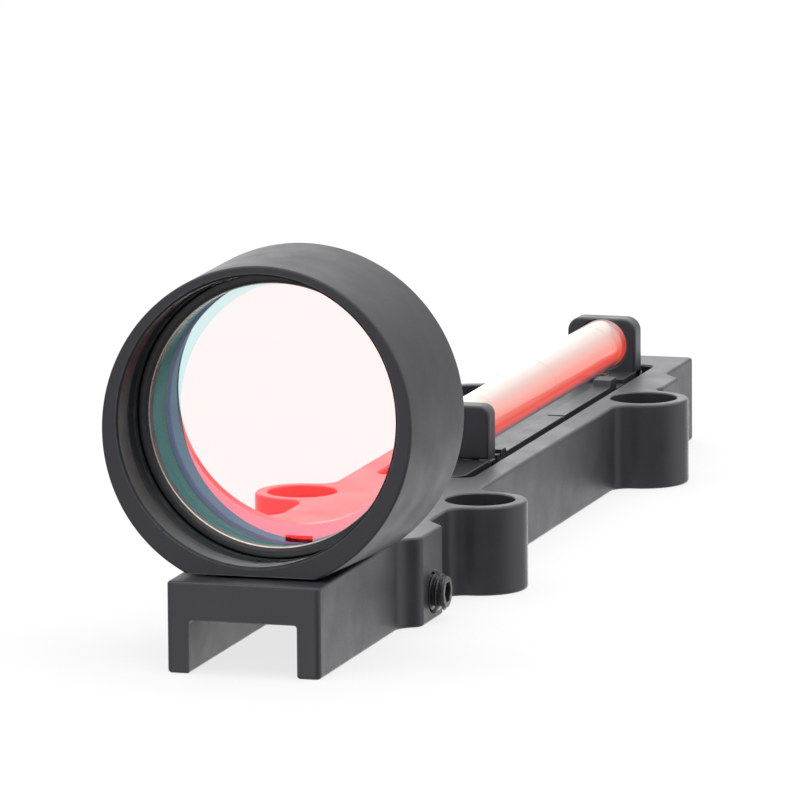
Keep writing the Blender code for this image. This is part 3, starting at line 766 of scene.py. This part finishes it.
def opening_ring(behind, segments, wider=0.0):
    """A ring of the level rear opening, at a distance behind the start of its flare but never ahead of the
    lens's tilted seat."""
    ring = []
    for angle in around(segments):
        radius = REAR_BORE
        for _ in range(6):
            z = REAR_BORE_Z + radius * math.sin(angle)
            seat = HOUSING_FRONT + (SEAT_DEPTH + (z - BORE_Z) * math.sin(BORE_TILT)) / math.cos(BORE_TILT)
            y = max(FLARE_Y + behind, seat)
            radius = REAR_BORE + FLARE_SLOPE * max(0, y - FLARE_Y) + wider
        ring.append(Vector((radius * math.cos(angle), y, REAR_BORE_Z + radius * math.sin(angle))))
    return ring


def housing_shell():
    """The ring, outside and inside, as one closed surface."""
    segments = 192
    edge = 0.3
    rings = [outer_ring(0, edge * s, segments, edge * c) for s, c in QUARTER_TURN]
    rings += [outer_ring(0.1 * k, 0, segments) for k in range(1, 10)]
    rings += [outer_ring(1, edge * c, segments, -edge * s) for s, c in QUARTER_TURN]
    flare = HOUSING_REAR - FLARE_Y
    rings += [opening_ring(flare, segments, 0.15), opening_ring(flare - 0.2, segments)]
    rings += [opening_ring(behind, segments) for behind in (0.8, 0.06, 0, -9)]
    rings.append(circle(BORE, BORE_RADIUS, SEAT_DEPTH, segments))
    rings += [circle(BORE, radius, depth, segments) for radius, depth in relief_profile()]
    rings.append(mouth_ring(BORE_RADIUS, 0.25, segments))
    rings.append(mouth_ring(BORE_RADIUS + 0.25, 0, segments))
    return loft("lens_housing_body", rings, cyclic=True)


def lens_housing(outer, inner, rear):
    """The tapered ring on its foot and key, with its own finish in the bore and painted light on the lens's
    seat.
    """
    housing = combine(housing_shell(), [block("under", (-20, 20), (-10, 40), (-10, FOOT))])
    combine(housing, [block("key", (-KEY_X, KEY_X), KEY_Y, (FOOT - KEY_DEPTH, FOOT + 0.2))], "UNION")
    combine(housing, [rod(f"thread_{y}", SCREW_SHANK_HOLE, 8, top, upright(y), 40)
                      for y, top in zip(SCREW_Y, SCREW_HOLE_TOPS)])
    stand_for(crisp(housing), "lens_housing", outer)
    housing.data.materials.append(inner)
    housing.data.materials.append(rear)
    for face in housing.data.polygons:
        middle = TO_BORE @ face.center
        inside = math.hypot(middle.x, middle.z) < BORE_RADIUS + RELIEF
        sideways = abs((TO_BORE.to_3x3() @ face.normal).normalized().y) < 0.9
        if inside and (sideways or 3 < middle.y < 8):
            face.material_index = 1
        # the lens's seat takes the painted light
        elif inside and abs(middle.y - SEAT_DEPTH) < 0.2:
            face.material_index = 2


def relief_profile():
    """The retaining ring's thread and the relief before it, as (radius, depth) from the rear forwards."""
    pitch, depth = 0.4, 0.14
    points = [(BORE_RADIUS, 7.2)]
    for k in range(3):
        start = 6.5 - k * pitch
        points += [(BORE_RADIUS, start), (BORE_RADIUS + depth, start - pitch * 0.5)]
    return points + [(BORE_RADIUS + RELIEF, 5.2), (BORE_RADIUS + RELIEF, 3.9), (BORE_RADIUS, 3.4)]


# ---- lens

def retaining_ring(material, lip):
    """The lens's retaining ring, with a thin band of bright cream metal on its inner edge, a painted
    highlight for the glint there.
    """
    profile = [(APERTURE, 8.4), (15.02, 8.4), (15.06, 8.3), (15.06, LOCK_DEPTH + 0.1), (14.98, LOCK_DEPTH),
               (14.42, LOCK_DEPTH), (14.34, 6.74), (APERTURE + 0.11, 7.06), (APERTURE, 7.12)]
    ring = turned("retaining_ring", profile, BORE, 192, closed=True)
    stand_for(crisp(ring), "lens_retaining_ring", material)
    ring.data.materials.append(lip)
    # the inner edge takes the painted highlight
    for face in ring.data.polygons:
        middle = TO_BORE @ face.center
        if math.hypot(middle.x, middle.z) < APERTURE + 0.12 and middle.y < 7.3:
            face.material_index = 1


def surface(radius, vertex, reach):
    """A spherical lens surface, as (height, depth) from its axis out to reach."""
    steps = 14
    heights = [reach * i / steps for i in range(steps + 1)]
    return [(h, vertex + radius - math.sqrt(radius**2 - h**2)) for h in heights]


def lens_element(name, node, front, rear, rim, materials, tilted):
    """A lens between two surfaces of (radius, vertex), with a rim of (radius, depth, material index) steps
    from the rear forwards. The face named by tilted leans back with the coating."""
    segments = 128
    back = surface(*rear, rim[0][0] - 0.2)
    face = surface(*front, rim[-1][0] - 0.2)
    profile = back + [step[:2] for step in rim] + face[::-1]
    lens = turned(name, profile, BORE, segments)
    middle = (rear[1] + surface(*front, rim[-1][0])[-1][1]) / 2
    for vert in lens.data.vertices:
        point = TO_BORE @ vert.co
        if (point.y < middle) == (tilted == "front"):
            point.y += math.tan(COATED_TILT) * point.z
            vert.co = TO_SIGHT @ BORE @ point
    stand_for(lens, node, materials[0])
    for extra in materials[1:]:
        lens.data.materials.append(extra)
    rows = [1] * len(back) + [step[2] for step in rim] + [0] * len(face)
    for i, polygon in enumerate(lens.data.polygons):
        polygon.material_index = rows[i // segments]


def lens_parts(dark):
    """The coated doublet, the ring that holds it from the front, and the gasket behind it."""
    # painted highlight: bright cream metal on the ring's inner edge stands in for a glint
    lip = steel("painted_glint_lip", (0.5, 0.44, 0.34), 0.32, 0.9, 3000)
    coated = coating("red_coating", (0.64, 0.85, 0.85), (0.46, 0.02, 0.02))
    clear = clear_glass("clear_glass")
    # painted reflection: the rims' teal and violet stand in for the coatings' coloured reflections
    teal = ground_glass("rim_painted_teal", (0.05, 0.22, 0.20), (0.10, 0.36, 0.33))
    violet = ground_glass("rear_rim_painted_violet", (0.22, 0.20, 0.42), (0.32, 0.28, 0.52))
    silicone = plain_polymer("gasket_silicone", (0.36, 0.44, 0.62), 0.6, 7000)
    front_face, rear_face = (110, 7.7), (160, 14.6)
    coated_face = (COATED_RADIUS, COATED_VERTEX)
    cement = 0.08
    cemented_face = (COATED_RADIUS, COATED_VERTEX - cement)
    front_rim = [(14.8, 9.4, 2), (14.85, 8.78, 2)]
    rear_rim = [(14.45, 15.35, 3), (14.6, 14.7, 2), (14.8, 10.2, 2)]
    retaining_ring(dark, lip)
    lens_element("lens_front_body", "lens_front_element", front_face, cemented_face, front_rim,
                 (clear, clear, teal), "rear")
    lens_element("lens_rear_body", "lens_rear_element", coated_face, rear_face, rear_rim,
                 (coated, clear, teal, violet), "front")
    ring_piece("lens_gasket_body", "lens_gasket", 14.45, 14.9, 15.45, 15.9, BORE, silicone)


# ---- cradle and tube

def cradle_side():
    """The tray, its rails and their pillars seen from the side, as (distance back, height) points."""
    front, rear = FRONT_BRACKET[0], REAR_BRACKET[1]
    tongue, under, gap, top = 7.75, 8.15, 8.95, 9.5
    return [(front, tongue), (82.8, tongue), (82.8, under), (rear, under), (rear, top), (134.5, top),
            (134.5, gap), (131.5, gap), (131.5, 10.3), (128.9, 10.3), (128.6, top), (85.4, top),
            (85.0, 10.0), (83.4, 10.0), (83.4, gap), (82.8, gap), (82.8, 9.65), (front, 9.65)]


def bracket(name, y, foot, corner):
    """An upright bracket at one end of the cradle, without its holes."""
    corners = [(-CRADLE_X, foot, 0), (CRADLE_X, foot, 0), (CRADLE_X, BRACKET_TOP, corner),
               (-CRADLE_X, BRACKET_TOP, corner)]
    return slab(name, rounded(corners, 10), *y, 0.35, axis="Y")


def tray():
    """The tray that joins the brackets, with its rails, hinge tongue and hole for the insert."""
    made = slab("cradle_tray", cradle_side(), -CRADLE_X, CRADLE_X, axis="X")
    combine(made, [
        block("trough", (-2.1, 2.1), (83, 133), (8.9, 11)),
        block("beside_right", (2.15, 6), (77, 81.8), (7, 9.65)),
        block("beside_left", (-6, -2.15), (77, 81.8), (7, 9.65)),
        block("notch_right", (1, 6), (108.6, 109.4), (9.35, 10)),
        block("notch_left", (-6, -1), (108.6, 109.4), (9.35, 10)),
        rod("hinge_hole", PIN_HOLE, -6, 6, line_along("X", 0, *HINGE), 32),
        rod("insert_hole", 1.78, 7, 11, upright(ELEVATION_Y), 48),
    ])
    return soften(made, 0.1, 2)


def cradle(material):
    """The tray and the two brackets that hold the tube: the front one has a pinhole."""
    middle = tray()
    line = line_along("Y", 0, 0, TUBE_Z)
    low, high = FRONT_BRACKET[0], REAR_BRACKET[0]
    seat = TUBE_RADIUS + 0.1
    front = combine(bracket("front_bracket", FRONT_BRACKET, 9.62, 1.2), [
        turned("socket", [(0, low + 1.5), (seat, low + 1.5), (seat, low + 2.55), (seat + 0.5, low + 3.05),
                          (0, low + 3.05)], line),
        rod("reticle_seat", 2, low + 0.9, low + 2, line),
        turned("pinhole", [(0, low - 1), (1.3, low - 1), (0.4, low + 0.35), (0.4, low + 2), (0, low + 2)],
               line, 32),
    ])
    rear = combine(bracket("rear_bracket", REAR_BRACKET, 8.3, 1.6), [
        turned("socket", [(0, high - 0.35), (seat + 0.5, high - 0.35), (seat, high + 0.15),
                          (seat, high + 1.1), (0, high + 1.1)], line),
        rod("reflector_seat", 2, high, high + 1.7, line),
    ])
    for piece in (middle, front, rear):
        stand_for(crisp(piece), "cradle", material)


def light_tube(material):
    """The clear tube, with three shallow grooves round it and chamfered ends."""
    near, far = TUBE_Y
    chamfer, groove, half_groove = 0.12, 0.05, 0.09
    profile = [(TUBE_BORE, far), (TUBE_RADIUS - chamfer, far), (TUBE_RADIUS, far - chamfer)]
    for middle in (far - 6, (near + far) / 2, near + 6):
        profile += [(TUBE_RADIUS, middle + half_groove), (TUBE_RADIUS - groove, middle),
                    (TUBE_RADIUS, middle - half_groove)]
    profile += [(TUBE_RADIUS, near + chamfer), (TUBE_RADIUS - chamfer, near), (TUBE_BORE, near)]
    tube = turned("light_tube_body", profile, line_along("Y", 0, 0, TUBE_Z), 96, closed=True)
    return stand_for(crisp(tube, 20), "light_tube", material)


def tube_parts():
    """The light tube and its core, gaskets and end discs. The tube and core cast no shadow, because light
    passes through them."""
    line = line_along("Y", 0, 0, TUBE_Z)
    near, far = TUBE_Y
    rubber = plain_polymer("rubber", (0.02, 0.02, 0.02), 0.75, 7000)
    film = plain_polymer("reticle_film", (0.01, 0.01, 0.01), 0.4, 5000)
    mirror = steel("mirror_film", (0.85, 0.85, 0.85), 0.12, 1.0, 3000)
    red = fluorescent("fluorescent_red")
    tube = light_tube(tube_material("light_tube"))
    core = disc_piece("fibre_core_body", "fibre_core", 2.15, near + 0.05, far - 0.05, line, red)
    for piece in (tube, core):
        piece.visible_shadow = False
        piece.visible_diffuse = False
        piece.visible_glossy = False
    for end, first in (("front", near - 0.35), ("rear", far + 0.1)):
        node = "tube_gasket_" + end
        ring_piece(node + "_body", node, TUBE_BORE, 2.85, first, first + 0.25, line, rubber)
    disc_piece("reticle_disc_body", "reticle_disc", 1.85, 79.4, 79.8, line, film)
    disc_piece("reflector_disc_body", "reflector_disc", 1.85, 141.1, 141.5, line, mirror)


# ---- swivel, screws and springs

def swivel_block(material):
    """The tongue that turns about the pivot screw and carries the hinge pin between its prongs."""
    corners = [(-4.1, 67.6, 2), (4.1, 67.6, 2), (4.1, 81.4, 0.6), (2.45, 81.4, 0.6), (2.45, 78.1, 0),
               (-2.45, 78.1, 0), (-2.45, 81.4, 0.6), (-4.1, 81.4, 0.6)]
    body = slab("swivel_block_body", rounded(corners), 7.6, 9.6, 0.12)
    combine(body, [
        block("prongs", (-6, 6), (78.1, 83), (9.35, 11)),
        turned("pivot", [(0, 7), (1.4, 7), (1.4, 9.5), (2.4, 10.5), (0, 10.5)],
               upright(PIVOT_Y), 48),
        rod("pin", PIN_HOLE, -6, 6, line_along("X", 0, *HINGE), 32),
    ])
    stand_for(crisp(body), "swivel_block", material)


def hinge_pin(material):
    """The pin on which the cradle tilts, with chamfered ends."""
    profile = [(0, 3.9), (0.45, 3.9), (0.6, 3.75), (0.6, -3.75), (0.45, -3.9), (0, -3.9)]
    stand_for(turned("hinge_pin_body", profile, line_along("X", 0, *HINGE), 32), "hinge_pin", material)


def hex_socket(name, across_flats, axis, start, end):
    """The cutter of a hexagonal key socket, with a lead-in cone at its mouth."""
    sign = math.copysign(1, end - start)
    hexagon = arc((0, 0), across_flats / math.sqrt(3), 0, 300, 5)
    levels = ((1.5, start - sign), (1.0, start + sign * 0.18), (1.0, end), (0.4, end + sign * 0.3))
    rings = [[axis @ Vector((x * scale, along, z * scale)) for x, z in hexagon] for scale, along in levels]
    return loft(name, rings)


def thread(name, axis, radius, pitch, start, end, taper=0.35, segments=48):
    """A screw's threaded length: a helical V thread whose crests and lead-in taper at both ends."""
    depth = pitch * 0.55
    steps = max(12, round(abs(end - start) / pitch * 10))
    rings = []
    for k in range(steps + 1):
        along = start + (end - start) * k / steps
        room = min(abs(along - start), abs(along - end))
        limit = radius - max(0, taper - room)
        ring = []
        for i, angle in enumerate(around(segments)):
            phase = (along / pitch - i / segments) % 1
            height = radius - depth * max(0, min(1, 1.25 - abs(phase - 0.5) * 2.9))
            height = min(height, limit)
            ring.append(axis @ Vector((height * math.cos(angle), along, height * math.sin(angle))))
        rings.append(ring)
    return loft(name, rings)


def clamp_screw(place, y, side, metal, nylon):
    """An M4 set screw with a key socket, and the nylon tip pressed into its inner end."""
    node, tip = "clamp_screw_" + place, "clamp_tip_" + place
    low, high = (corner.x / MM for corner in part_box(node))
    inner, outer = (low, high) if side > 0 else (high, low)
    axis = line_along("X", 0, y, CLAMP_Z)
    screw = thread(node + "_body", axis, 2.0, 0.7, inner, outer)
    recess = rod("recess", 0.9, inner - side, inner + side * 0.9, axis, 24)
    key = hex_socket("key", 2.0, axis, outer, outer - side * 2.2)
    stand_for(crisp(combine(screw, [recess, key]), 25), node, metal)
    face, shoulder, stem_end = side * 6.05, inner - side * 0.1, inner + side * 0.7
    profile = [(0, face), (1.35, face), (1.6, face + side * 0.2), (1.6, shoulder), (0.75, shoulder),
               (0.75, stem_end), (0, stem_end)]
    stand_for(turned(tip + "_body", profile, axis, 40), tip, nylon)


def windage_adjuster(metal, brass):
    """The windage screw and its brass tip in the left wall, and the coil spring in the right wall."""
    axis = line_along("X", 0, *WINDAGE)
    outer, inner = -8.2, -5.2
    screw = thread("windage_screw_body", axis, 0.98, 0.4, inner, outer, 0.2, 32)
    recess = rod("recess", 0.44, inner + 1, inner - 0.9, axis, 20)
    key = hex_socket("key", 0.9, axis, outer, outer + 1.3)
    stand_for(crisp(combine(screw, [recess, key]), 25), "windage_screw", metal)
    face = -CRADLE_X - 0.1
    profile = [(0, face), (0.5, face), (0.6, face - 0.1), (0.6, -5.1), (0.32, -5.1), (0.32, -5.9), (0, -5.9)]
    stand_for(turned("windage_tip_body", profile, axis, 32), "windage_tip", brass)
    turns, per_turn, wire, radius = 4, 20, 0.14, 0.78
    low, high = CRADLE_X + 0.1 + wire, 7.3 - wire
    coil = arc(WINDAGE, radius, 0, 360 * turns, per_turn * turns)
    points = [(low + (high - low) * i / (len(coil) - 1), y, z) for i, (y, z) in enumerate(coil)]
    spring = stand_for(wire_mesh("windage_spring_body", points, wire), "windage_spring", metal)
    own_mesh(spring)


def wire_mesh(name, points, radius, closed=False):
    """Round wire along a line of points."""
    curve = bpy.data.curves.new(name, "CURVE")
    curve.dimensions = "3D"
    curve.bevel_depth = radius * MM
    curve.bevel_resolution = 3
    curve.use_fill_caps = not closed
    spline = curve.splines.new("POLY")
    spline.points.add(len(points) - 1)
    for point, where in zip(spline.points, points):
        point.co = (*(TO_SIGHT @ Vector(where)), 1)
    spline.use_cyclic_u = closed
    spline.use_smooth = True
    guide = placed(name + "_guide", curve)
    bpy.context.view_layer.update()
    mesh = bpy.data.meshes.new_from_object(guide.evaluated_get(bpy.context.evaluated_depsgraph_get()))
    bpy.data.objects.remove(guide)
    return placed(name, mesh)


def headed_screw(name, y, head, shank, key):
    """A screw that stands upwards. head and shank are (radius, low, high) in millimetres."""
    axis = upright(y)
    radius, low, high = head
    overlap, chamfer = 0.3, 0.25
    profile = [(0, high + overlap), (shank[0], high + overlap), (shank[0], high), (radius, high),
               (radius, low + chamfer), (radius - chamfer, low), (0, low)]
    screw = turned(name, profile, axis)
    combine(screw, [thread("shank", axis, shank[0], 0.45, high + 0.1, shank[2], 0.25, 40)], "UNION")
    combine(screw, [hex_socket("key", key, axis, low, low + (high - low) * 0.6)])
    return crisp(screw, 25)


def pivot_screw(material):
    """The bright shouldered screw that the swivel block turns on."""
    axis = upright(PIVOT_Y)
    profile = [(0, 10.6), (2.0, 10.6), (2.22, 10.52), (2.3, 10.38), (2.3, 9.85), (2.2, 9.7), (1.3, 9.7),
               (1.3, 7.5), (0.95, 7.5), (0.95, 5.9), (0.8, 5.8), (0, 5.8)]
    screw = turned("pivot_screw_body", profile, axis)
    combine(screw, [hex_socket("key", 2.0, axis, 10.6, 9.9)])
    stand_for(crisp(screw), "pivot_screw", material)


def elevation_adjuster(metal, brass):
    """The elevation screw, the brass insert it works in, and the wavy washer under the cradle."""
    screw = headed_screw("elevation_screw_body", ELEVATION_Y, (1.9, 5.75, 6.7), (0.95, 5.75, 9.1), 1.3)
    stand_for(screw, "elevation_screw", metal)
    axis = upright(ELEVATION_Y)
    profile = [(1.12, 9.35), (1.2, 9.4), (1.62, 9.4), (1.68, 9.34), (1.68, 8.26), (1.62, 8.2), (1.12, 8.2)]
    stand_for(turned("elevation_insert_body", profile, axis, 64, closed=True), "elevation_insert", brass)
    radius, middle, wave, wire = 1.74, 7.78, 0.17, 0.12
    ring = arc((0, ELEVATION_Y), radius, 0, 360, 72)[:-1]
    points = [(x, y, middle + wave * math.sin(math.pi * i / 12)) for i, (x, y) in enumerate(ring)]
    spring = wire_mesh("elevation_spring_body", points, wire, closed=True)
    stand_for(spring, "elevation_spring", metal)
    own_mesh(spring)


def ring_piece(name, node, inner, outer, near, far, axis, material):
    """A gasket: a ring with softly rounded edges."""
    e = 0.06
    profile = [(inner + e, far), (outer - e, far), (outer, far - e), (outer, near + e), (outer - e, near),
               (inner + e, near), (inner, near + e), (inner, far - e)]
    return stand_for(turned(name, profile, axis, 96, closed=True), node, material)


def disc_piece(name, node, radius, near, far, axis, material):
    """A round rod or disc with softly rounded edges."""
    e = 0.06
    profile = [(0, far), (radius - e, far), (radius, far - e), (radius, near + e), (radius - e, near),
               (0, near)]
    return stand_for(turned(name, profile, axis, 64), node, material)


# ---- scene

def build_sight():
    """Every piece of the sight, with its materials."""
    black = anodised("black_anodised", (0.020, 0.0195, 0.026), 0.43, 0.5)
    ring_black = anodised("ring_anodised", (0.021, 0.0205, 0.027), 0.48, 0.33)
    swivel_black = anodised("swivel_anodised", (0.012, 0.012, 0.014), 0.45, 0.3)
    bore_black = anodised("bore_anodised", (0.011, 0.014, 0.015), 0.33, 0.18, 0.4)
    # painted light: the lens's seat gets a pale blue colour and a faint glow for light that reaches it only
    # through the lens
    seat = anodised("seat_painted_light", (0.34, 0.42, 0.60), 0.5, 0.4, 0.4, (0.10, 0.13, 0.15))
    oxide = steel("black_oxide_steel", (0.03, 0.03, 0.033), 0.34, 0.5, 6000)
    bright = steel("pin_steel", (0.5, 0.5, 0.5), 0.25, 1.0, 8000)
    brass = steel("brass", (0.6, 0.42, 0.16), 0.3, 1.0, 8000)
    nylon = plain_polymer("nylon", (0.75, 0.74, 0.7), 0.5, 6000)

    base_rail(black)
    lens_housing(ring_black, bore_black, seat)
    lens_parts(turned_metal("retainer_anodised", (0.026, 0.026, 0.029), 0.4, 0.4))
    for end, y, tip in zip(("front", "rear"), SCREW_Y, SCREW_TIPS):
        node = "housing_screw_" + end
        screw = headed_screw(node + "_body", y, (2.6, 5.75, 7.35), (1.45, 5.75, tip), 2.0)
        stand_for(screw, node, oxide)
    swivel_block(swivel_black)
    hinge_pin(bright)
    pivot_screw(bright)
    cradle(black)
    tube_parts()
    for end, y in zip(("front", "rear"), BOSS_Y):
        for side, hand in ((1, "right"), (-1, "left")):
            clamp_screw(f"{end}_{hand}", y, side, oxide, nylon)
    windage_adjuster(oxide, brass)
    elevation_adjuster(oxide, brass)


def floor():
    """A white sheet for the sight to stand on. It neither lights the sight nor shows in its reflections."""
    bm = bmesh.new()
    bmesh.ops.create_grid(bm, x_segments=8, y_segments=8, size=2.5)
    mesh = bpy.data.meshes.new("floor")
    bm.to_mesh(mesh)
    bm.free()
    ground = placed("floor", mesh)
    mesh.materials.append(floor_material())
    ground.visible_diffuse = False
    ground.visible_glossy = False


# Patches of the studio's light: direction, the cosines where it starts and is full, and its strength
STUDIO_LIGHT = [
    ((-0.283, -0.958, 0.013), 0.95, 0.98, 1.4),
    ((0.1, 0.1, 1.0), 0.4, 0.95, 1.9),
    ((-0.35, 0.93, -0.02), 0.8, 0.97, 1.5),
    ((-0.05, 0.9, -0.42), 0.85, 0.97, 1.1),
    ((0.95, 0.3, 0.1), 0.8, 0.97, 0.6),
    ((0.75, -0.65, -0.1), 0.75, 0.97, -0.38),
]
STUDIO_BASE = 0.7


def studio():
    """A white tent, brighter in patches, and plain white for whatever the camera sees behind the sight."""
    world = bpy.data.worlds.new("studio")
    bpy.context.scene.world = world
    bpy.context.scene.view_settings.view_transform = "Standard"
    world.use_nodes = True
    g = Nodes(world.node_tree)
    direction = g.node("TexCoord").outputs["Generated"]
    light = STUDIO_BASE
    for towards, start, full, strength in STUDIO_LIGHT:
        facing = g.dot(direction, Vector(towards).normalized())
        patch = g.spread(facing, start, full, 0, strength, "SMOOTHSTEP")
        light = g.math("ADD", patch, light)
    tent = g.tree.nodes["Background"]
    g.feed(tent.inputs["Color"], (1, 1, 1))
    g.feed(tent.inputs["Strength"], light)
    white = g.node("Background", {"Color": (1, 1, 1)})
    seen = g.node("LightPath").outputs["Is Camera Ray"]
    both = g.mixed_shaders(seen, tent.outputs[0], white.outputs[0])
    g.feed(g.tree.nodes["World Output"].inputs["Surface"], both)


def camera():
    """The photograph's viewpoint: low, from the front right, with a long lens."""
    azimuth, elevation, roll = math.radians(16.723), math.radians(9.766), math.radians(-0.448)
    level = Vector((math.cos(azimuth), math.sin(azimuth), 0))
    ahead = Vector((-math.sin(azimuth), math.cos(azimuth), 0))
    look = ahead * math.cos(elevation) - Vector((0, 0, math.sin(elevation)))
    up = level.cross(look)
    right = level * math.cos(roll) + up * math.sin(roll)
    up = up * math.cos(roll) - level * math.sin(roll)
    data = bpy.data.cameras.new("camera")
    data.sensor_width = 36
    data.lens = 466.65
    data.clip_end = 20
    made = placed("camera", data)
    place = TO_SIGHT @ Vector((322.1, -1014.3, 212.4))
    turn = Matrix((right, up, -look)).transposed().to_4x4()
    made.matrix_world = Matrix.Translation(place) @ turn
    bpy.context.scene.camera = made


build_sight()
floor()
studio()
camera()
